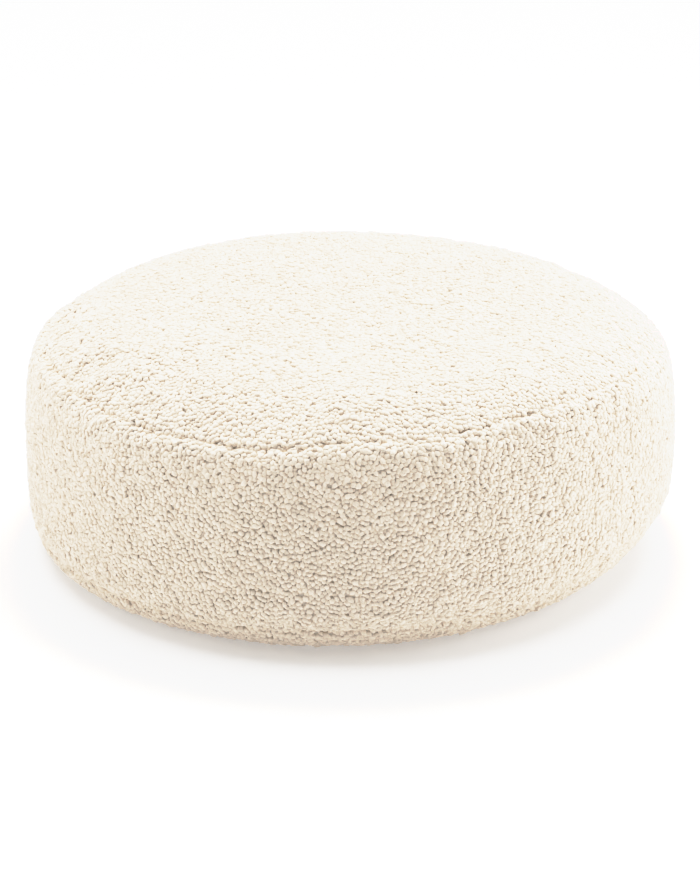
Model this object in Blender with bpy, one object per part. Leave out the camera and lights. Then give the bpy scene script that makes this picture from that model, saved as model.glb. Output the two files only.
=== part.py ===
"""Low round ottoman in a curly cream pile cloth, filled and sewn shut.

Three pieces, as a maker cuts them: a round top panel that pillows up, a wide side band,
and a base panel whose rim turns up the side. Each is one filled solid, and its skin is
where the tips of the pile end. The pieces meet at two sewn seams that draw the pile in.

Metres, +Z up. The origin is the centre of the flat underside, and the front faces -Y.
"""

import math
from collections import namedtuple

import bmesh
import bpy

# Driving sizes. The crown is squarish: it rises fast from its seam and is nearly flat in
# the middle, a little higher behind. The foot is rounder towards +X.
DIAMETER = 0.800
MIDDLE_HEIGHT = 0.295
CROWN_RISE = 0.048
CROWN_SQUARENESS = 8
CROWN_LEAN = 0.0072
CROWN_LEAN_DEGREES = 112
SEAM_REACH = 3
SEAM_INSET = 0.0232
SHOULDER_DROP = 0.132
SEAM_DEPTH = 0.009
FOOT_ROUND_WIDTH = 0.0865
FOOT_ROUND_HEIGHT = 0.0737
FOOT_ROUND_LOPSIDED = 0.38

# The crown's faint swells, a pattern of waves across and along it
SWELL_HEIGHT = 0.0014
SWELL_TURNS = 13.0
SWELL_SHIFT_X = 1.0
SWELL_SHIFT_Y = 2.0

RADIUS = DIAMETER / 2
SEAM_RADIUS = RADIUS - SEAM_INSET
SEAM_LEVEL = MIDDLE_HEIGHT - CROWN_RISE

# Two pieces that meet stand this far apart.
GAP = 0.0003

# The mesh has this many columns round the side, and closer ones where the fold is.
COLUMNS = 72
FOLD_ZONE = (-160, -130)
FOLD_ZONE_SPLIT = 3

# Faces that meet at less than this are shaded as one smooth surface.
SMOOTH_UNDER_DEGREES = 60

# Room for rounding when a column's angle is looked up among a seam's points
ANGLE_SLACK = 1e-6

# The top seam rides up and down round the side: lowest at the front left, highest at the
# front right. Degrees run from +X towards +Y, so the front is at -90.
SeamPoint = namedtuple("SeamPoint", "degrees height")
TOP_SEAM = (
    SeamPoint(-180, 0.2490),
    SeamPoint(-154, 0.2460),
    SeamPoint(-143, 0.2405),
    SeamPoint(-132, 0.2360),
    SeamPoint(-115, 0.2340),
    SeamPoint(-103, 0.2370),
    SeamPoint(-90, 0.2480),
    SeamPoint(-78, 0.2490),
    SeamPoint(-68, 0.2535),
    SeamPoint(-58, 0.2595),
    SeamPoint(-43, 0.2625),
    SeamPoint(-22, 0.2555),
    SeamPoint(10, 0.2490),
    SeamPoint(60, 0.2460),
    SeamPoint(110, 0.2480),
    SeamPoint(145, 0.2465),
)
BASE_SEAM = (
    SeamPoint(-180, 0.0350),
    SeamPoint(-118, 0.0370),
    SeamPoint(-98, 0.0398),
    SeamPoint(-74, 0.0440),
    SeamPoint(-20, 0.0420),
    SeamPoint(50, 0.0370),
    SeamPoint(120, 0.0385),
)

# Creases in the top panel, each a straight valley, or a ridge where its depth is negative.
Crease = namedtuple(
    "Crease", "start_degrees start_radius end_degrees end_radius half_width depth"
)
TOP_CREASES = (
    Crease(-150.0, 0.376, -145.0, 0.318, 0.011, 0.0055),
    Crease(-145.5, 0.362, -138.0, 0.262, 0.017, -0.0035),
    Crease(-143.0, 0.376, -141.0, 0.364, 0.008, 0.0030),
    Crease(-113.0, 0.376, -113.0, 0.360, 0.014, 0.0030),
    Crease(-86.0, 0.376, -86.0, 0.362, 0.016, 0.0025),
    Crease(-67.5, 0.376, -67.5, 0.358, 0.012, 0.0040),
    Crease(34.0, 0.376, 30.0, 0.330, 0.016, 0.0030),
    Crease(121.0, 0.376, 124.0, 0.350, 0.015, 0.0030),
)

# Soft hollows in the side band, or swellings where the depth is negative.
Hollow = namedtuple("Hollow", "degrees height half_width half_height depth")
BAND_HOLLOWS = (
    Hollow(-63, 0.222, 0.026, 0.034, 0.0035),
    Hollow(-86, 0.215, 0.030, 0.030, 0.0025),
    Hollow(-95, 0.120, 0.024, 0.060, 0.0025),
    Hollow(-78, 0.140, 0.030, 0.060, -0.0020),
    Hollow(-113, 0.206, 0.030, 0.026, 0.0025),
    Hollow(-132, 0.130, 0.045, 0.060, -0.0015),
    Hollow(-40, 0.150, 0.045, 0.070, 0.0020),
    Hollow(6, 0.140, 0.110, 0.090, 0.0030),
    Hollow(38, 0.200, 0.030, 0.040, 0.0030),
    Hollow(75, 0.140, 0.040, 0.060, 0.0020),
    Hollow(122, 0.205, 0.030, 0.036, 0.0030),
    Hollow(160, 0.130, 0.040, 0.060, 0.0015),
)

# How an edge rolls in to its seam, from the seam outwards: how far off the seam's height
# each ring lies, and how far inside the skin.
RollRing = namedtuple("RollRing", "off_seam inside_skin")
EDGE_ROLL = (
    RollRing(0.0009, 0.0048),
    RollRing(0.0029, 0.0015),
    RollRing(0.0065, 0.0),
)

# Rings of the mesh, as shares of the way along each stretch of the skin.
CROWN_RINGS = (0.960, 0.930, 0.890, 0.840, 0.770, 0.680, 0.550, 0.370, 0.180)
SHOULDER_RINGS = (0.30, 0.52, 0.70, 0.83, 0.915)
WALL_RINGS = (0.0, 0.5, 1.0)
FOOT_RINGS_ABOVE_SEAM = (0.25, 0.55)
FOOT_RINGS_BELOW_SEAM = (0.75, 0.50, 0.25)
FLAT_RING = 0.55

# Colour of each piece's cloth, which catches less light lower down
PILE_COLOURS = {
    "top_panel": (0.86, 0.80, 0.70, 1.0),
    "side_band": (0.80, 0.73, 0.62, 1.0),
    "base_panel": (0.72, 0.64, 0.53, 1.0),
}
PILE_ROUGHNESS = 0.95


def clear_scene():
    for old in list(bpy.data.objects):
        bpy.data.objects.remove(old, do_unlink=True)


def column_angles():
    """Return the angle of each column, in radians, closer together across the fold."""
    step = 360 / COLUMNS
    angles = []
    for index in range(COLUMNS):
        first = -180 + index * step
        split = FOLD_ZONE_SPLIT if FOLD_ZONE[0] <= first < FOLD_ZONE[1] else 1
        for part in range(split):
            angles.append(math.radians(first + part * step / split))
    return angles


def seam_height(seam, angle):
    """Return a seam's height at an angle, on a smooth closed curve through its points."""
    degrees = (math.degrees(angle) + 180) % 360 - 180
    count = len(seam)
    index = max(i for i in range(count) if seam[i].degrees <= degrees + ANGLE_SLACK)
    near = [seam[(index + shift) % count] for shift in (-1, 0, 1, 2)]
    span = (near[2].degrees - near[1].degrees) % 360
    before = (near[1].degrees - near[0].degrees) % 360
    after = (near[3].degrees - near[2].degrees) % 360
    share = (degrees - near[1].degrees) / span
    slope_in = (near[2].height - near[0].height) * span / (before + span)
    slope_out = (near[3].height - near[1].height) * span / (span + after)
    cubic = near[1].height - near[2].height
    return (
        near[1].height
        + share * slope_in
        + share**2 * (-3 * cubic - 2 * slope_in - slope_out)
        + share**3 * (2 * cubic + slope_in + slope_out)
    )


def foot_round(angle):
    """Return the width and height of the round at the foot, larger towards +X."""
    factor = 1 + FOOT_ROUND_LOPSIDED * math.cos(angle)
    return FOOT_ROUND_WIDTH * factor, FOOT_ROUND_HEIGHT * factor


def hollow_depth(angle, height):
    """Return how far the band's hollows draw the wall in at one place."""
    depth = 0.0
    for hollow in BAND_HOLLOWS:
        turn = math.remainder(angle - math.radians(hollow.degrees), math.tau)
        across = turn * RADIUS / hollow.half_width
        along = (height - hollow.height) / hollow.half_height
        depth += hollow.depth * math.exp(-(across**2) - along**2)
    return depth


def wall_radius(angle, height):
    """Return the radius of the side's skin at a height: foot, wall, then shoulder."""
    round_width, round_height = foot_round(angle)
    top = seam_height(TOP_SEAM, angle)
    shoulder = top - SHOULDER_DROP
    radius = RADIUS
    if height < round_height:
        share = 1 - max(height, 0) / round_height
        radius = RADIUS - round_width * (1 - math.sqrt(1 - share**2))
    elif height > shoulder:
        share = min(1, (height - shoulder) / SHOULDER_DROP)
        radius = SEAM_RADIUS + SEAM_INSET * math.sqrt(1 - share**2)
    return radius - hollow_depth(angle, height)


def crease_depth(x, y):
    """Return how deep the top panel's creases are at one place."""
    depth = 0.0
    for crease in TOP_CREASES:
        start = math.radians(crease.start_degrees)
        end = math.radians(crease.end_degrees)
        start_x = crease.start_radius * math.cos(start)
        start_y = crease.start_radius * math.sin(start)
        run_x = crease.end_radius * math.cos(end) - start_x
        run_y = crease.end_radius * math.sin(end) - start_y
        along = ((x - start_x) * run_x + (y - start_y) * run_y) / (run_x**2 + run_y**2)
        along = min(1, max(0, along))
        off = math.hypot(x - start_x - along * run_x, y - start_y - along * run_y)
        depth += crease.depth * math.exp(-((off / crease.half_width) ** 2))
    return depth


def crown_height(angle, radius):
    """Return the height of the top panel's skin."""
    share = radius / SEAM_RADIUS
    x = radius * math.cos(angle)
    y = radius * math.sin(angle)
    seam_part = (seam_height(TOP_SEAM, angle) - SEAM_LEVEL) * share**SEAM_REACH
    pillow = CROWN_RISE * (1 - share**CROWN_SQUARENESS)
    # The lean is at its full size half way out, and nothing at the middle and the edge.
    half_way_out = share * (1 - share) / 0.25
    lean = CROWN_LEAN * half_way_out * math.cos(angle - math.radians(CROWN_LEAN_DEGREES))
    wave_x = math.sin(x * SWELL_TURNS + SWELL_SHIFT_X)
    wave_y = math.sin(y * SWELL_TURNS + SWELL_SHIFT_Y)
    swell = SWELL_HEIGHT * wave_x * wave_y * (1 - share**2)
    return SEAM_LEVEL + seam_part + pillow + lean + swell - crease_depth(x, y)


def point(angle, radius, height):
    return (radius * math.cos(angle), radius * math.sin(angle), height)


def seam_face(seam, root, side):
    """Return the hidden face inside a seam, from its root to just before its centre.

    Both pieces use the same rings, half the gap above or below, so they never touch.
    """
    level = sum(place.height for place in seam) / len(seam)
    rings = []
    for share in (1.0, FLAT_RING):
        ring = []
        for angle in column_angles():
            height = level + (seam_height(seam, angle) - level) * share**2
            ring.append(point(angle, root(angle) * share, height + side * GAP / 2))
        rings.append(ring)
    centre = (0, 0, level + side * GAP / 2)
    return rings, centre


def top_root(_angle):
    return SEAM_RADIUS - SEAM_DEPTH


def base_root(angle):
    return wall_radius(angle, seam_height(BASE_SEAM, angle)) - SEAM_DEPTH


def wall_roll(seam, side):
    """Return the rings of a side edge, rolling in to its seam, nearest the seam first."""
    rings = []
    for roll in EDGE_ROLL:
        ring = []
        for angle in column_angles():
            height = seam_height(seam, angle) + side * roll.off_seam
            ring.append(point(angle, wall_radius(angle, height) - roll.inside_skin, height))
        rings.append(ring)
    return rings


def wall_rings(shares, height_from, height_to):
    """Return rings on the side's skin, at shares of the way between two heights."""
    rings = []
    for share in shares:
        ring = []
        for angle in column_angles():
            low = height_from(angle)
            height = low + (height_to(angle) - low) * share
            ring.append(point(angle, wall_radius(angle, height), height))
        rings.append(ring)
    return rings


def closed_solid(name, start, rings, end):
    """Skin the rings in turn, from one centre point on the axis to the other.

    Each four-sided step is split from its ring nearer the axis, so that the hidden faces
    of two pieces that meet are split alike.
    """
    mesh = bmesh.new()
    first = mesh.verts.new(start)
    last = mesh.verts.new(end)
    rows = [[mesh.verts.new(place) for place in ring] for ring in rings]
    count = len(rows[0])
    for index in range(count):
        after = (index + 1) % count
        mesh.faces.new((first, rows[0][after], rows[0][index]))
        mesh.faces.new((last, rows[-1][index], rows[-1][after]))
        for lower, upper in zip(rows, rows[1:]):
            near, far = sorted((lower, upper), key=lambda row: row[index].co.xy.length)
            mesh.faces.new((near[index], near[after], far[after]))
            mesh.faces.new((near[index], far[after], far[index]))
    bmesh.ops.recalc_face_normals(mesh, faces=mesh.faces)
    data = bpy.data.meshes.new(name)
    mesh.to_mesh(data)
    mesh.free()
    data.shade_smooth()
    data.set_sharp_from_angle(angle=math.radians(SMOOTH_UNDER_DEGREES))
    data.materials.append(pile_cloth(name))
    solid = bpy.data.objects.new(name, data)
    bpy.context.scene.collection.objects.link(solid)
    return solid


def pile_cloth(name):
    material = bpy.data.materials.new(name + "_pile")
    material.use_nodes = True
    shader = material.node_tree.nodes["Principled BSDF"]
    shader.inputs["Base Color"].default_value = PILE_COLOURS[name]
    shader.inputs["Roughness"].default_value = PILE_ROUGHNESS
    shader.inputs["Metallic"].default_value = 0.0
    return material


def top_panel():
    """The pillowed round panel, from its hidden face out over its edge to its crown."""
    hidden, start = seam_face(TOP_SEAM, top_root, 1)
    rings = hidden[::-1]
    for roll in EDGE_ROLL:
        share = (1 - roll.off_seam / CROWN_RISE) ** (1 / CROWN_SQUARENESS)
        radius = SEAM_RADIUS * share
        ring = []
        for angle in column_angles():
            lowest = seam_height(TOP_SEAM, angle) + roll.off_seam / 2
            height = max(lowest, crown_height(angle, radius))
            ring.append(point(angle, radius - roll.inside_skin, height))
        rings.append(ring)
    for share in CROWN_RINGS:
        radius = SEAM_RADIUS * share
        rings.append([point(a, radius, crown_height(a, radius)) for a in column_angles()])
    return closed_solid("top_panel", start, rings, (0, 0, crown_height(0, 0)))


def side_band():
    """The wide band, from the base seam up over the foot, wall and shoulder."""
    low_face, start = seam_face(BASE_SEAM, base_root, 1)
    high_face, end = seam_face(TOP_SEAM, top_root, -1)

    def above_roll(angle):
        return seam_height(BASE_SEAM, angle) + EDGE_ROLL[-1].off_seam

    def foot_top(angle):
        return foot_round(angle)[1]

    def shoulder(angle):
        return seam_height(TOP_SEAM, angle) - SHOULDER_DROP

    def under_roll(angle):
        return seam_height(TOP_SEAM, angle) - EDGE_ROLL[-1].off_seam

    rings = low_face[::-1]
    rings += wall_roll(BASE_SEAM, 1)
    rings += wall_rings(FOOT_RINGS_ABOVE_SEAM, above_roll, foot_top)
    rings += wall_rings(WALL_RINGS, foot_top, shoulder)
    rings += wall_rings(SHOULDER_RINGS, shoulder, under_roll)
    rings += wall_roll(TOP_SEAM, -1)[::-1]
    rings += high_face
    return closed_solid("side_band", start, rings, end)


def base_panel():
    """The base with its rim turned up to the seam, flat where it rests."""
    hidden, start = seam_face(BASE_SEAM, base_root, -1)

    def floor(_angle):
        return 0.0

    def under_roll(angle):
        return seam_height(BASE_SEAM, angle) - EDGE_ROLL[-1].off_seam

    rings = hidden[::-1]
    rings += wall_roll(BASE_SEAM, -1)
    rings += wall_rings(FOOT_RINGS_BELOW_SEAM, floor, under_roll)
    resting = []
    for angle in column_angles():
        resting.append(point(angle, RADIUS - foot_round(angle)[0], 0.0))
    rings.append(resting)
    return closed_solid("base_panel", start, rings, (0, 0, 0))


clear_scene()
top_panel()
side_band()
base_panel()
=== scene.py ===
import math
from collections import namedtuple

import bpy
import numpy as np
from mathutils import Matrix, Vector
from mathutils.bvhtree import BVHTree
from mathutils.kdtree import KDTree


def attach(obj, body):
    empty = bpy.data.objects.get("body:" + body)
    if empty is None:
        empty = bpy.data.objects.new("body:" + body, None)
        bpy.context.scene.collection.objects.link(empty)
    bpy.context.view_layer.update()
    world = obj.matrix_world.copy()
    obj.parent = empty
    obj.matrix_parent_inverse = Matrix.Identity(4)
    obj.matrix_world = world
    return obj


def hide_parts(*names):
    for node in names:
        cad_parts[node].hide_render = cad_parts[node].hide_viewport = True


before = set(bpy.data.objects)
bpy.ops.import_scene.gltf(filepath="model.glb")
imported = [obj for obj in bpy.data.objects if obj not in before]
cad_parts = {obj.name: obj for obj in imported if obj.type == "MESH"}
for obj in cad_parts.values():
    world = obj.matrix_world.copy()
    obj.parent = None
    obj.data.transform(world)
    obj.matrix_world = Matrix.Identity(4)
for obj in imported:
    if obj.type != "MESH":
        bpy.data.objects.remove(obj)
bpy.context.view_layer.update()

scene = bpy.context.scene

# Camera. It stands in front of the ottoman and looks down on it, with the focal length and
# the small shift that frame a picture of 700 by 875 pixels.
PICTURE_HEIGHT_PX = 875
LOOK_DOWN_DEGREES = 21.5
CAMERA_DISTANCE = 2.4
AIM_HEIGHT = 0.13
FOCAL_LENGTH_PX = 1922.6
MIDDLE_OFF_PX = (-0.4, -15.0)
SENSOR_MM = 36.0

look_down = math.radians(LOOK_DOWN_DEGREES)
bpy.ops.object.camera_add(
    location=(
        0,
        -CAMERA_DISTANCE * math.cos(look_down),
        AIM_HEIGHT + CAMERA_DISTANCE * math.sin(look_down),
    ),
    rotation=(math.pi / 2 - look_down, 0, 0),
)
camera = bpy.context.object
camera.name = "camera"
camera.data.sensor_width = SENSOR_MM
camera.data.lens = FOCAL_LENGTH_PX * SENSOR_MM / PICTURE_HEIGHT_PX
camera.data.shift_x = MIDDLE_OFF_PX[0] / PICTURE_HEIGHT_PX
camera.data.shift_y = MIDDLE_OFF_PX[1] / PICTURE_HEIGHT_PX
scene.camera = camera


# Cloth of the top panel. The real piece is a round of knitted backing with curly pile on
# its face, sewn to the band all round and pushed up by the filling. Here it is the panel's
# solid drawn in to the backing, then filled by Blender's cloth with its seam held fast.
PILE_DEPTH = 0.0034
CLOTH_MESH = 0.006
MERGE_GAP = 0.00001
SEWN_EDGE = 0.366
OUTER_POINTS = 0.34
SEAM_HOLDS_WITHIN = 0.010
SEAM_LAP = 0.0012
TURNS_UNDER_BELOW = 0.024
# Painted shade: the backing is its cream darkened, so the gaps between the curls look shaded.
BACKING_COLOUR_WITH_PAINTED_SHADE = (0.68, 0.60, 0.51, 1)
BACKING_DARKEST = 0.8
BACKING_PATCHES_PER_METRE = 60
BACKING_THREADS_PER_METRE = 700
BACKING_THREAD_DEPTH = 0.0006
BACKING_ROUGHNESS = (0.85, 0.95)
HIDDEN_FACES_DROPPED = 0.95
FILLING_PRESSURE = 4.0
SPARE_CLOTH = 0.03
SETTLE_FRAMES = 20
TOP_PUFF = 0.0012
TOP_SKIN_ABOVE = 0.262
TOP_SKIN_BEYOND = 0.34
TOP_PILE_FACES = -0.8


class Wire:
    """A socket of a node tree. Arithmetic on it adds Math nodes to the tree."""

    def __init__(self, board, socket):
        self.board = board
        self.socket = socket

    def maths(self, operation, *values):
        node = self.board.node("ShaderNodeMath", {"operation": operation}, *values)
        return node[0]

    def __add__(self, other):
        return self.maths("ADD", self, other)

    def __radd__(self, other):
        return self.maths("ADD", other, self)

    def __sub__(self, other):
        return self.maths("SUBTRACT", self, other)

    def __rsub__(self, other):
        return self.maths("SUBTRACT", other, self)

    def __mul__(self, other):
        return self.maths("MULTIPLY", self, other)

    def __rmul__(self, other):
        return self.maths("MULTIPLY", other, self)

    def __truediv__(self, other):
        return self.maths("DIVIDE", self, other)

    def __pow__(self, other):
        return self.maths("POWER", self, other)

    def __gt__(self, other):
        return self.maths("GREATER_THAN", self, other)

    def __lt__(self, other):
        return self.maths("LESS_THAN", self, other)


class Board:
    """A node tree to which nodes are added one call at a time."""

    def __init__(self, tree):
        self.tree = tree
        self.tree.nodes.clear()

    def node(self, kind, settings, *values, **named):
        """Add a node: its settings first, then its sockets in order or by name."""
        node = self.tree.nodes.new(kind)
        for key, value in settings.items():
            setattr(node, key, value)
        sockets = [s for s in node.inputs if s.enabled]
        pairs = list(zip(sockets, values))
        for name, value in named.items():
            wanted = name.replace("_", " ")
            pairs.append((next(s for s in sockets if s.name == wanted), value))
        for socket, value in pairs:
            if isinstance(value, Wire):
                self.tree.links.new(value.socket, socket)
            elif value is not None:
                socket.default_value = value
        return [Wire(self, s) for s in node.outputs if s.enabled]


def no_selection():
    for other in bpy.context.selected_objects:
        other.select_set(False)


def apply_modifier(piece, kind, **settings):
    """Add a modifier with these settings, and apply it."""
    modifier = piece.modifiers.new(kind.lower(), kind)
    for key, value in settings.items():
        setattr(modifier, key, value)
    no_selection()
    piece.select_set(True)
    bpy.context.view_layer.objects.active = piece
    bpy.ops.object.modifier_apply(modifier=modifier.name)


def points_of(mesh, what="vertices", field="co"):
    """The mesh's places or normals as an array of rows."""
    items = getattr(mesh, what)
    flat = np.empty(len(items) * 3)
    items.foreach_get(field, flat)
    return flat.reshape(-1, 3)


def out_from_axis(places):
    return np.hypot(places[:, 0], places[:, 1])


def seam_of(node, pick):
    """Turns and heights along a panel's seam: its solid's lowest or highest outer points."""
    places = points_of(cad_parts[node].data)
    places = places[out_from_axis(places) > OUTER_POINTS]
    turns = np.round(np.arctan2(places[:, 1], places[:, 0]), 3)
    columns = np.unique(turns)
    return columns, np.array([pick(places[turns == turn, 2]) for turn in columns])


def cloth_of(node, name, colour):
    """An even mesh of a CAD node's solid, drawn in by the pile's depth.

    Where the cloth turns under the ottoman the pile is crushed, so it is drawn in less.
    At a seam the two cloths lap by a little, so that no gap shows between them.
    """
    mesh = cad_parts[node].data.copy()
    mesh.name = name
    mesh.materials.clear()
    piece = bpy.data.objects.new(name, mesh)
    scene.collection.objects.link(piece)
    no_selection()
    piece.select_set(True)
    bpy.context.view_layer.objects.active = piece
    bpy.ops.object.mode_set(mode="EDIT")
    bpy.ops.mesh.select_all(action="SELECT")
    bpy.ops.mesh.remove_doubles(threshold=MERGE_GAP)
    bpy.ops.object.mode_set(mode="OBJECT")
    apply_modifier(piece, "REMESH", mode="VOXEL", voxel_size=CLOTH_MESH)
    places = points_of(piece.data)
    inward = -points_of(piece.data, "vertex_normals", "vector")
    inward *= 1 - (np.clip(inward[:, 2:], 0, 1) ** 2) * (places[:, 2:] < TURNS_UNDER_BELOW)
    turns = np.arctan2(places[:, 1], places[:, 0])
    middle_height = (places[:, 2].min() + places[:, 2].max()) / 2
    lap = np.zeros_like(places)
    for seam_turns, seam_heights in (top_seam, base_seam):
        seam_here = np.interp(turns, seam_turns, seam_heights, period=math.tau)
        near = np.exp(-(((places[:, 2] - seam_here) / SEAM_HOLDS_WITHIN) ** 2))
        inward[:, 2] *= 1 - near
        lap[:, 2] += near * np.sign(seam_here - middle_height) * SEAM_LAP
    places += inward * PILE_DEPTH + lap
    piece.data.vertices.foreach_set("co", places.ravel())
    piece.data.materials.append(backing_cloth(name + "_backing", colour))
    return piece


def backing_cloth(name, colour):
    """The knitted backing between the curls: dull, warm, its cream darkened with painted shade
    for the gaps between curls, with a fine knit.
    """
    material = bpy.data.materials.new(name)
    material.use_nodes = True
    board = Board(material.node_tree)
    place = board.node("ShaderNodeTexCoord", {})[3]
    knit = board.node(
        "ShaderNodeTexNoise", {}, Vector=place, Scale=BACKING_THREADS_PER_METRE, Detail=2.0
    )
    patches = board.node(
        "ShaderNodeTexNoise", {}, Vector=place, Scale=BACKING_PATCHES_PER_METRE, Detail=2.0
    )
    dark = tuple(part * BACKING_DARKEST for part in colour[:3]) + (1,)
    cloth = board.node(
        "ShaderNodeMix", {"data_type": "RGBA"}, patches[0], A=dark, B=colour
    )
    threads = board.node(
        "ShaderNodeBump", {}, Strength=0.6, Distance=BACKING_THREAD_DEPTH, Height=knit[0]
    )
    smoothest, roughest = BACKING_ROUGHNESS
    shader = board.node(
        "ShaderNodeBsdfPrincipled",
        {},
        Base_Color=cloth[0],
        Roughness=knit[0] * (roughest - smoothest) + smoothest,
        Normal=threads[0],
    )
    board.node("ShaderNodeOutputMaterial", {}, shader[0])
    return material


def fill(piece, held, most):
    """Fill the piece as cloth, with the held points fast and none moved by more than most."""
    start = points_of(piece.data)
    sewn = piece.vertex_groups.new(name="sewn")
    sewn.add([int(i) for i in np.flatnonzero(held(start))], 1.0, "REPLACE")
    filling = piece.modifiers.new("filling", "CLOTH")
    filling.settings.use_pressure = True
    filling.settings.uniform_pressure_force = FILLING_PRESSURE
    filling.settings.effector_weights.gravity = 0
    filling.settings.vertex_group_mass = "sewn"
    filling.settings.shrink_min = -SPARE_CLOTH
    filling.collision_settings.use_collision = False
    filling.point_cache.frame_start = 1
    filling.point_cache.frame_end = SETTLE_FRAMES
    for number in range(1, SETTLE_FRAMES + 1):
        scene.frame_set(number)
    graph = bpy.context.evaluated_depsgraph_get()
    moved = points_of(piece.evaluated_get(graph).data) - start
    length = np.linalg.norm(moved, axis=1, keepdims=True)
    moved *= np.minimum(1, most / np.maximum(length, 1e-9))
    piece.data.vertices.foreach_set("co", (start + moved).ravel())
    piece.modifiers.remove(filling)
    piece.vertex_groups.remove(sewn)
    piece.data.shade_smooth()


def thin_out_hidden(piece, hidden):
    """Join up the small faces inside the ottoman, where no one sees them."""
    inside = np.flatnonzero(hidden(points_of(piece.data)))
    group = piece.vertex_groups.new(name="hidden")
    group.add([int(i) for i in inside], 1.0, "REPLACE")
    kept = 1 - HIDDEN_FACES_DROPPED * len(inside) / len(piece.data.vertices)
    apply_modifier(piece, "DECIMATE", ratio=kept, vertex_group="hidden")
    piece.vertex_groups.clear()


def mark_pile_side(piece, outer):
    """Mark the faces that carry pile, which outer picks by their centres and normals."""
    centres = points_of(piece.data, "polygons", "center")
    normals = points_of(piece.data, "polygon_normals", "vector")
    marks = piece.data.attributes.new("pile_side", "BOOLEAN", "FACE")
    marks.data.foreach_set("value", outer(centres, normals))


def inside_top(places):
    return (places[:, 2] < TOP_SKIN_ABOVE) & (out_from_axis(places) < TOP_SKIN_BEYOND)


top_seam = seam_of("top_panel", min)
base_seam = seam_of("base_panel", max)
top_cloth = cloth_of("top_panel", "top_panel_cloth", BACKING_COLOUR_WITH_PAINTED_SHADE)
thin_out_hidden(top_cloth, inside_top)
fill(top_cloth, lambda places: out_from_axis(places) > SEWN_EDGE - PILE_DEPTH, TOP_PUFF)
mark_pile_side(top_cloth, lambda centres, normals: normals[:, 2] > TOP_PILE_FACES)
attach(top_cloth, "root")
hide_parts("top_panel")


# Cloth of the side band. The real piece is one long strip, sewn to the top panel along its
# upper edge and to the base along its lower edge, and kept upright by the filling.
BAND_PUFF = 0.0012
BAND_SKIN_BEYOND = 0.35
BAND_ENDS_FACE = 0.9
PILE_COVERS_ENDS_BEYOND = SEWN_EDGE + 0.002


def band_pile(centres, normals):
    """All but the ends that are sewn to the top panel and to the base, inside the seams."""
    ends = abs(normals[:, 2]) >= BAND_ENDS_FACE
    return ~ends | (out_from_axis(centres) > PILE_COVERS_ENDS_BEYOND)


band_cloth = cloth_of("side_band", "side_band_cloth", BACKING_COLOUR_WITH_PAINTED_SHADE)
thin_out_hidden(band_cloth, lambda places: out_from_axis(places) < BAND_SKIN_BEYOND)
fill(band_cloth, lambda places: out_from_axis(places) < SEWN_EDGE + PILE_DEPTH, BAND_PUFF)
mark_pile_side(band_cloth, band_pile)
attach(band_cloth, "root")
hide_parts("side_band")


# Cloth of the base panel. The real piece is a round whose rim turns up the side to its
# seam. Its underside lies flat on the floor, with the pile crushed under the weight.
BASE_PUFF = 0.001
BASE_SKIN_BELOW = 0.015
BASE_SKIN_BEYOND = 0.35
BASE_RESTS_BELOW = 0.01
BASE_RIM_BEYOND = 0.36
PILE_TURNS_UNDER = -0.9
SEWN_EDGE_FACES_UP = 0.8
CRUSHED_BELOW = 0.005


def inside_base(places):
    return (places[:, 2] > BASE_SKIN_BELOW) & (out_from_axis(places) < BASE_SKIN_BEYOND)


def held_on_base(places):
    return (places[:, 2] < BASE_RESTS_BELOW) | (out_from_axis(places) < BASE_RIM_BEYOND)


def turned_up_rim(centres, normals):
    rim = (normals[:, 2] > PILE_TURNS_UNDER) & (centres[:, 2] > CRUSHED_BELOW)
    return rim & (normals[:, 2] < SEWN_EDGE_FACES_UP)


base_cloth = cloth_of("base_panel", "base_panel_cloth", BACKING_COLOUR_WITH_PAINTED_SHADE)
thin_out_hidden(base_cloth, inside_base)
fill(base_cloth, held_on_base, BASE_PUFF)
mark_pile_side(base_cloth, turned_up_rim)
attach(base_cloth, "root")
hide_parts("base_panel")


# Curls of the pile. Each real one is a small tangle of crimped fibre, 7 to 12 mm across,
# matt cream, knitted into the backing beside the next. Each is painted darker and warmer at
# its root, as painted shade for the crease between curls. Here six curls are modelled and
# set over the cloth, turned at random and sized by their room.
CURL_SIDES = 5
CURL_RINGS = 4
CURL_FLAT_TOP = 1.28
CURL_ROOT_DROP = 0.15
CURL_MIDDLE_BAND = 0.2
CurlShape = namedtuple("CurlShape", "length width height bend_in roughness seed")
CURL_SHAPES = (
    CurlShape(0.0088, 0.0080, 0.0072, 0.0004, 0.0005, 1),
    CurlShape(0.0092, 0.0076, 0.0070, 0.0006, 0.0005, 2),
    CurlShape(0.0084, 0.0084, 0.0076, 0, 0.0006, 3),
    CurlShape(0.0096, 0.0076, 0.0068, 0.0009, 0.0005, 4),
    CurlShape(0.0088, 0.0080, 0.0078, 0.0005, 0.0006, 5),
    CurlShape(0.0090, 0.0084, 0.0068, 0.0005, 0.0006, 6),
)
CURL_TIP_COLOUR = (0.88, 0.76, 0.63, 1)
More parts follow.
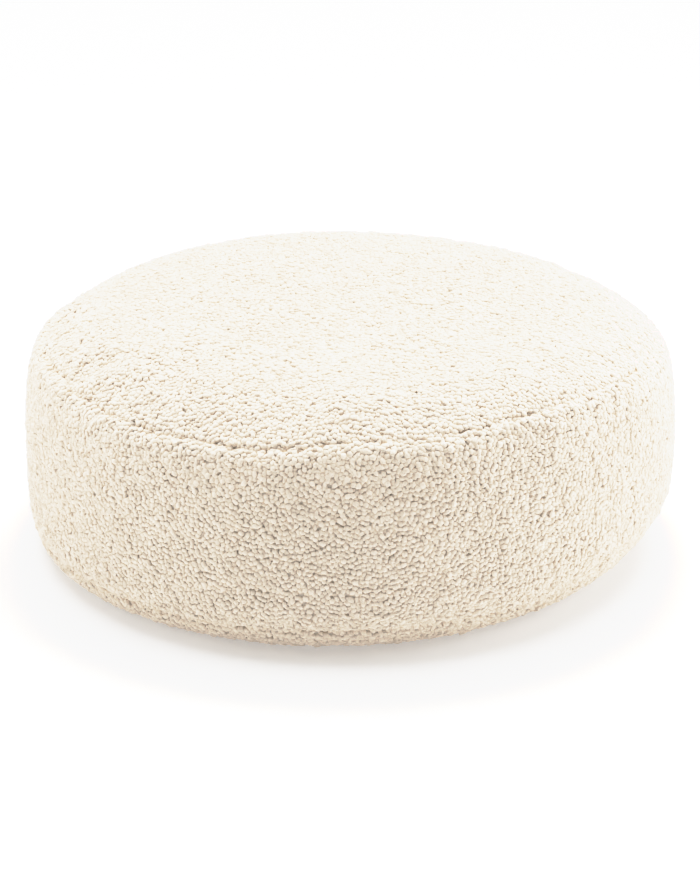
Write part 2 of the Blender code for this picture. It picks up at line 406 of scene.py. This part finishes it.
# Painted shade: the root colour darkens and warms each curl low down, where the crease between
# curls falls in shade.
CURL_ROOT_PAINTED_SHADE = (0.60, 0.535, 0.46, 1)
ROOT_TO_TIP = (0.40, 0.70)
STRANDS_PER_METRE = 900
TUFTS_PER_METRE = 260
PATCHES_PER_METRE = 14
STRAND_DEPTH = 0.0004
TUFT_DEPTH = 0.0018
FIBRE_ROUGHNESS = (0.84, 0.96)
TUFTS_LIGHTEN_ROOTS = 0.2
DARKEST_SHADE = 0.90
SHADE_BY_CURL = 0.12
SHADE_BY_PATCH = 0.08
SHADE_BY_STRAND = 0.12
SHADE_WARMS = 1.08
CURL_SEED = 5
CURL_SPACING = 0.0040
CURL_MOST_PER_M2 = 600000
FEWEST_CURLS = 0.88
CLUMP_SIZE = 0.012
CLUMP_CONTRAST = (0.35, 0.65)
EVEN_SPACING = 0.0068
EVENING_STEPS = 4
EVENING_SHARE = 0.25
NEIGHBOURS = 6
NEIGHBOURS_THAT_TOUCH = 4
USUAL_GAP = 0.0056
ROOM_LIMITS = (0.7, 1.4)
CURL_SIZE = (0.92, 1.08)
CURL_LIFT = (-0.0015, 0.0002)
CURL_TILT = 0.28
MAP_NAME = "OFBake"
MAP_UPPER_RING = 0.29
MAP_LOWER_RING = 0.46
MAP_ROOT = 0.05
MAP_ROOT_MIDDLE = 0.09


def curl_pile(name):
    """The crimped fibre: cream at the tip, with painted shade making it warm and dark at the
    root, with fine strands.
    """
    material = bpy.data.materials.new(name)
    material.use_nodes = True
    board = Board(material.node_tree)
    place = board.node("ShaderNodeTexCoord", {})[3]
    rise = board.node("ShaderNodeAttribute", {"attribute_name": "rise"})[2]
    tone = board.node("ShaderNodeAttribute", {"attribute_name": "tone"})[2]
    strands = board.node(
        "ShaderNodeTexNoise",
        {},
        Vector=place,
        Scale=STRANDS_PER_METRE,
        Detail=3.0,
        Distortion=1.5,
    )[0]
    tufts = board.node(
        "ShaderNodeTexNoise", {}, Vector=place, Scale=TUFTS_PER_METRE, Detail=2.0, Distortion=0.8
    )[0]
    patches = board.node(
        "ShaderNodeTexNoise", {}, Vector=place, Scale=PATCHES_PER_METRE, Detail=3.0
    )[0]
    # Painted shade: by its rise, each curl runs from the painted root shade low down to the tip
    # colour above.
    depth = board.node(
        "ShaderNodeMapRange", {}, Value=rise, From_Min=ROOT_TO_TIP[0], From_Max=ROOT_TO_TIP[1]
    )[0]
    lit = depth + (tufts - 0.5) * TUFTS_LIGHTEN_ROOTS
    body = board.node(
        "ShaderNodeMix",
        {"data_type": "RGBA", "clamp_factor": True},
        lit,
        A=CURL_ROOT_PAINTED_SHADE,
        B=CURL_TIP_COLOUR,
    )[0]
    shade = (
        DARKEST_SHADE
        + tone * SHADE_BY_CURL
        + (patches - 0.5) * SHADE_BY_PATCH
        + (strands - 0.5) * SHADE_BY_STRAND
    )
    tinted = board.node(
        "ShaderNodeMix",
        {"data_type": "RGBA", "blend_type": "MULTIPLY"},
        1.0,
        A=body,
        B=board.node("ShaderNodeCombineColor", {}, shade, shade, shade ** SHADE_WARMS)[0],
    )[0]
    coarse = board.node(
        "ShaderNodeBump", {}, Strength=0.8, Distance=TUFT_DEPTH, Height=tufts
    )[0]
    fine = board.node(
        "ShaderNodeBump", {}, Strength=0.5, Distance=STRAND_DEPTH, Height=strands, Normal=coarse
    )[0]
    smoothest, roughest = FIBRE_ROUGHNESS
    shader = board.node(
        "ShaderNodeBsdfPrincipled",
        {},
        Base_Color=tinted,
        Roughness=strands * (roughest - smoothest) + smoothest,
        Normal=fine,
        Sheen_Weight=0.25,
        Sheen_Roughness=0.5,
    )
    board.node("ShaderNodeOutputMaterial", {}, shader[0])
    return material


def map_curl(mesh):
    """Map a curl as seen from its tip, its root in a corner, where no other part shows."""
    layer = mesh.uv_layers[0]
    layer.name = MAP_NAME
    places = points_of(mesh)
    turns = np.arctan2(places[:, 1], places[:, 0])
    from_lowest = np.argsort(places[:, 2])
    outward = np.full(len(places), MAP_LOWER_RING)
    outward[from_lowest[-1 - CURL_SIDES:-1]] = MAP_UPPER_RING
    outward[from_lowest[-1]] = 0
    for face in mesh.polygons:
        is_root = all(outward[vertex] == MAP_LOWER_RING for vertex in face.vertices)
        middle = MAP_ROOT_MIDDLE if is_root else 0.5
        for corner, vertex in zip(face.loop_indices, face.vertices):
            out = MAP_ROOT if is_root else outward[vertex]
            layer.uv[corner].vector = (
                middle + out * math.cos(turns[vertex]),
                middle + out * math.sin(turns[vertex]),
            )


def curl(number, shape, material):
    """One curl, modelled about the origin with its root down, in a cell of its own map."""
    no_selection()
    bpy.ops.mesh.primitive_uv_sphere_add(
        segments=CURL_SIDES, ring_count=CURL_RINGS, radius=0.5
    )
    piece = bpy.context.object
    piece.name = f"curl_{number}"
    bpy.ops.object.mode_set(mode="EDIT")
    bpy.ops.mesh.select_all(action="SELECT")
    bpy.ops.transform.resize(
        value=(shape.length, shape.width, shape.height), center_override=(0, 0, 0)
    )
    bpy.ops.mesh.select_mode(type="VERT")
    mesh = piece.data

    def choose(wanted):
        bpy.ops.mesh.select_all(action="DESELECT")
        bpy.ops.object.mode_set(mode="OBJECT")
        for vertex in mesh.vertices:
            vertex.select = wanted(vertex.co)
        bpy.ops.object.mode_set(mode="EDIT")

    above_middle = shape.height * CURL_MIDDLE_BAND
    choose(lambda place: place.z < -above_middle)
    bpy.ops.mesh.dissolve_verts()
    choose(lambda place: place.z > above_middle)
    bpy.ops.transform.resize(value=(CURL_FLAT_TOP, CURL_FLAT_TOP, 1), center_override=(0, 0, 0))
    choose(lambda place: place.z < above_middle)
    bpy.ops.transform.translate(value=(0, 0, -shape.height * CURL_ROOT_DROP))
    choose(lambda place: abs(place.x) > shape.length * CURL_MIDDLE_BAND)
    bpy.ops.transform.translate(value=(0, shape.bend_in, 0))
    bpy.ops.mesh.select_all(action="SELECT")
    bpy.ops.transform.vertex_random(offset=shape.roughness, seed=shape.seed)
    bpy.ops.mesh.select_all(action="DESELECT")
    bpy.ops.object.mode_set(mode="OBJECT")
    mesh.shade_smooth()
    mesh.materials.append(material)
    heights = points_of(mesh)[:, 2]
    rise = mesh.attributes.new("rise", "FLOAT", "POINT")
    rise.data.foreach_set("value", heights / shape.height + 0.5)
    map_curl(mesh)
    return piece


def new_tree(name):
    tree = bpy.data.node_groups.new(name, "GeometryNodeTree")
    tree.interface.new_socket("Given", in_out="INPUT", socket_type="NodeSocketGeometry")
    tree.interface.new_socket("Made", in_out="OUTPUT", socket_type="NodeSocketGeometry")
    board = Board(tree)
    return tree, board, board.node("NodeGroupInput", {})[0]


def root_setter():
    """Geometry nodes that scatter the curls' roots over the marked faces."""
    tree, board, cloth = new_tree("root_setter")
    marked = board.node("GeometryNodeInputNamedAttribute", {"data_type": "BOOLEAN"}, "pile_side")
    clump = board.node("ShaderNodeTexNoise", {}, Scale=1 / CLUMP_SIZE, Detail=1.0)[0]
    share = board.node(
        "ShaderNodeMapRange",
        {},
        Value=clump,
        From_Min=CLUMP_CONTRAST[0],
        From_Max=CLUMP_CONTRAST[1],
        To_Min=FEWEST_CURLS,
        To_Max=1.0,
    )[0]
    spread = board.node(
        "GeometryNodeDistributePointsOnFaces",
        {"distribute_method": "POISSON"},
        Mesh=cloth,
        Selection=marked[0],
        Distance_Min=CURL_SPACING,
        Density_Max=CURL_MOST_PER_M2,
        Density_Factor=share,
        Seed=CURL_SEED,
    )
    roots = board.node("GeometryNodePointsToVertices", {}, spread[0])[0]
    board.node("NodeGroupOutput", {}, roots)
    return tree


def from_neighbours(roots):
    """The ways to each root from those nearest to it."""
    near = KDTree(len(roots))
    for number, root in enumerate(roots):
        near.insert(root, number)
    near.balance()
    found = [[n[1] for n in near.find_n(root, NEIGHBOURS + 1)[1:]] for root in roots]
    return roots[:, None] - roots[np.array(found)]


def even_roots(name, cloth):
    """Scatter the roots of the curls, push them apart, and note the room that each one has."""
    marks = cloth.data.attributes["pile_side"].data
    faces = [tuple(f.vertices) for f in cloth.data.polygons if marks[f.index].value]
    surface = BVHTree.FromPolygons(points_of(cloth.data).tolist(), faces)
    mesh = cloth.data.copy()
    mesh.name = name
    piece = bpy.data.objects.new(name, mesh)
    scene.collection.objects.link(piece)
    no_selection()
    piece.select_set(True)
    bpy.context.view_layer.objects.active = piece
    bpy.ops.object.mode_set(mode="EDIT")
    bpy.ops.mesh.select_all(action="SELECT")
    bpy.ops.mesh.sort_elements(type="RANDOMIZE", elements={"FACE"}, seed=CURL_SEED)
    bpy.ops.object.mode_set(mode="OBJECT")
    apply_modifier(piece, "NODES", node_group=root_setter())
    roots = points_of(piece.data)
    for _ in range(EVENING_STEPS):
        apart = from_neighbours(roots)
        length = np.linalg.norm(apart, axis=2, keepdims=True)
        push = np.clip(1 - length / EVEN_SPACING, 0, 1) * apart / np.maximum(length, 1e-6)
        moved = roots + push.sum(axis=1) * EVEN_SPACING * EVENING_SHARE
        landed = [surface.find_nearest(place) for place in moved]
        roots = np.array([hit[0] for hit in landed])
        facing = np.array([hit[1] for hit in landed])
    piece.data.vertices.foreach_set("co", roots.ravel())
    facings = piece.data.attributes.new("facing", "FLOAT_VECTOR", "POINT")
    facings.data.foreach_set("vector", facing.ravel())
    gaps = np.linalg.norm(from_neighbours(roots), axis=2)[:, :NEIGHBOURS_THAT_TOUCH]
    room = np.clip(gaps.mean(axis=1) / USUAL_GAP, *ROOM_LIMITS)
    rooms = piece.data.attributes.new("room", "FLOAT", "POINT")
    rooms.data.foreach_set("value", room)
    return piece


def curl_setter(name, curls, first_turn, last_turn):
    """Geometry nodes that set curls on the roots between two shares of a turn."""
    tree, board, roots = new_tree(name)
    place = board.node("GeometryNodeInputPosition", {})[0]
    x, y, _z = board.node("ShaderNodeSeparateXYZ", {}, place)
    turn = x.maths("ARCTAN2", y, x) / math.tau + 0.5
    outside = (turn < first_turn) + (turn > last_turn)
    kept = board.node(
        "GeometryNodeDeleteGeometry", {"domain": "POINT"}, Geometry=roots, Selection=outside
    )[0]
    facing = board.node(
        "GeometryNodeInputNamedAttribute", {"data_type": "FLOAT_VECTOR"}, "facing"
    )[0]

    def chance(low, high, salt):
        return board.node(
            "FunctionNodeRandomValue", {"data_type": "FLOAT"}, Min=low, Max=high, Seed=salt
        )[0]

    lift = board.node(
        "ShaderNodeVectorMath", {"operation": "SCALE"}, facing, Scale=chance(*CURL_LIFT, 1)
    )[0]
    raised = board.node("GeometryNodeSetPosition", {}, Geometry=kept, Offset=lift)[0]
    toned = board.node(
        "GeometryNodeStoreNamedAttribute",
        {"data_type": "FLOAT", "domain": "POINT"},
        Geometry=raised,
        Name="tone",
        Value=chance(0.0, 1.0, 2),
    )[0]
    numbered = board.node(
        "GeometryNodeStoreNamedAttribute",
        {"data_type": "INT", "domain": "POINT"},
        Geometry=toned,
        Name="cell",
        Value=board.node("GeometryNodeInputIndex", {})[0],
    )[0]
    spin = board.node(
        "ShaderNodeCombineXYZ",
        {},
        chance(-CURL_TILT, CURL_TILT, 3),
        chance(-CURL_TILT, CURL_TILT, 4),
        chance(0.0, math.tau, 5),
    )[0]
    upright = board.node("FunctionNodeAlignRotationToVector", {"axis": "Z"}, Vector=facing)[0]
    turned = board.node(
        "FunctionNodeRotateRotation",
        {"rotation_space": "LOCAL"},
        upright,
        board.node("FunctionNodeEulerToRotation", {}, spin)[0],
    )[0]
    room = board.node("GeometryNodeInputNamedAttribute", {"data_type": "FLOAT"}, "room")[0]
    size = chance(*CURL_SIZE, 6) * room
    shapes = board.node(
        "GeometryNodeCollectionInfo", {}, Collection=curls, Separate_Children=True
    )[0]
    which = board.node(
        "FunctionNodeRandomValue",
        {"data_type": "INT"},
        Min=0,
        Max=len(CURL_SHAPES) - 1,
        Seed=7,
    )[0]
    placed = board.node(
        "GeometryNodeInstanceOnPoints",
        {},
        Points=numbered,
        Instance=shapes,
        Pick_Instance=True,
        Instance_Index=which,
        Rotation=turned,
        Scale=size,
    )[0]
    joined = board.node("GeometryNodeRealizeInstances", {}, placed)[0]
    board.node("NodeGroupOutput", {}, joined)
    return tree


def set_curls(name, roots, first_turn=0.0, last_turn=1.0):
    """Set curls on the roots between two shares of a turn, as one mesh."""
    mesh = roots.data.copy()
    mesh.name = name
    piece = bpy.data.objects.new(name, mesh)
    scene.collection.objects.link(piece)
    setter = curl_setter(name + "_setter", curl_box, first_turn, last_turn)
    apply_modifier(piece, "NODES", node_group=setter)
    map_cells(piece.data)
    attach(piece, "root")
    return piece


def map_cells(mesh):
    """Move each curl's own small map to its square of the whole mesh's map."""
    cell = np.empty(len(mesh.vertices), dtype=np.int32)
    mesh.attributes["cell"].data.foreach_get("value", cell)
    corners = np.empty(len(mesh.loops), dtype=np.int32)
    mesh.loops.foreach_get("vertex_index", corners)
    spots = np.empty(len(mesh.loops) * 2, dtype=np.float32)
    layer = mesh.uv_layers[MAP_NAME]
    layer.uv.foreach_get("vector", spots)
    squares_across = math.ceil(math.sqrt(cell.max() + 1))
    column = cell[corners] % squares_across
    row = cell[corners] // squares_across
    moved = spots.reshape(-1, 2) + np.column_stack((column, row))
    layer.uv.foreach_set("vector", (moved / squares_across).astype(np.float32).ravel())


pile_material = curl_pile("curl_fibre")
curl_box = bpy.data.collections.new("curl_shapes")
for number, shape in enumerate(CURL_SHAPES):
    made = curl(number, shape, pile_material)
    for home in made.users_collection:
        home.objects.unlink(made)
    curl_box.objects.link(made)

top_roots = even_roots("top_roots", top_cloth)
band_roots = even_roots("band_roots", band_cloth)
base_roots = even_roots("base_roots", base_cloth)
set_curls("top_curls_front", top_roots, 0.0, 0.5)
set_curls("top_curls_back", top_roots, 0.5, 1.0)
set_curls("band_curls_left", band_roots, 0.0, 1 / 3)
set_curls("band_curls_right", band_roots, 1 / 3, 2 / 3)
set_curls("band_curls_back", band_roots, 2 / 3, 1.0)
set_curls("base_curls", base_roots)
for roots in (top_roots, band_roots, base_roots):
    bpy.data.objects.remove(roots)


# Floor and studio light, which aren't part of the ottoman.
FLOOR_SIZE = 40.0
FLOOR_COLOUR = (0.80, 0.80, 0.80, 1)
FLOOR_GLOW = 0.3
SKY_STRENGTH = 0.05
OVERHEAD_STRENGTH = 5.5
OVERHEAD_SPREAD_DEGREES = 60
OVERHEAD_TILT_DEGREES = -17
BRIGHTEST = 2.3
FILM_CURVE = (
    (0.4, 0.4),
    (0.8, 0.79),
    (1.0, 0.88),
    (1.2, 0.925),
    (1.45, 0.943),
    (1.6, 0.955),
    (1.72, 1.0),
)
SoftBox = namedtuple("SoftBox", "name place aim size power")
SOFT_BOXES = (
    SoftBox("left_box", (-2.4, -0.3, 0.9), (0, 0, 0.15), 1.8, 27),
    SoftBox("right_box", (2.4, -0.15, 0.9), (0, 0, 0.15), 1.8, 48),
)

bpy.ops.mesh.primitive_plane_add(size=FLOOR_SIZE)
floor = bpy.context.object
floor.name = "floor"
floor_paint = bpy.data.materials.new("floor_paint")
floor_paint.use_nodes = True
board = Board(floor_paint.node_tree)
paint = board.node(
    "ShaderNodeBsdfPrincipled",
    {},
    Base_Color=FLOOR_COLOUR,
    Roughness=1.0,
    Emission_Color=(1, 1, 1, 1),
    Emission_Strength=FLOOR_GLOW,
)
board.node("ShaderNodeOutputMaterial", {}, paint[0])
floor.data.materials.append(floor_paint)

for box in SOFT_BOXES:
    facing = (Vector(box.aim) - Vector(box.place)).to_track_quat("-Z", "Y").to_euler()
    bpy.ops.object.light_add(type="AREA", location=box.place, rotation=facing)
    lamp = bpy.context.object
    lamp.name = box.name
    lamp.data.size = box.size
    lamp.data.energy = box.power

bpy.ops.object.light_add(
    type="SUN", location=(0, 0, 3), rotation=(math.radians(OVERHEAD_TILT_DEGREES), 0, 0)
)
overhead = bpy.context.object
overhead.name = "overhead"
overhead.data.energy = OVERHEAD_STRENGTH
overhead.data.angle = math.radians(OVERHEAD_SPREAD_DEGREES)

world = bpy.data.worlds.new("studio")
scene.world = world
world.use_nodes = True
board = Board(world.node_tree)
sky = board.node("ShaderNodeBackground", {}, (1, 1, 1, 1), SKY_STRENGTH)
board.node("ShaderNodeOutputWorld", {}, sky[0])
scene.view_settings.view_transform = "Standard"
scene.view_settings.use_curve_mapping = True
film = scene.view_settings.curve_mapping
film.white_level = (BRIGHTEST, BRIGHTEST, BRIGHTEST)
film.initialize()
for light_in, light_out in FILM_CURVE:
    film.curves[3].points.new(light_in / BRIGHTEST, light_out)
film.update()
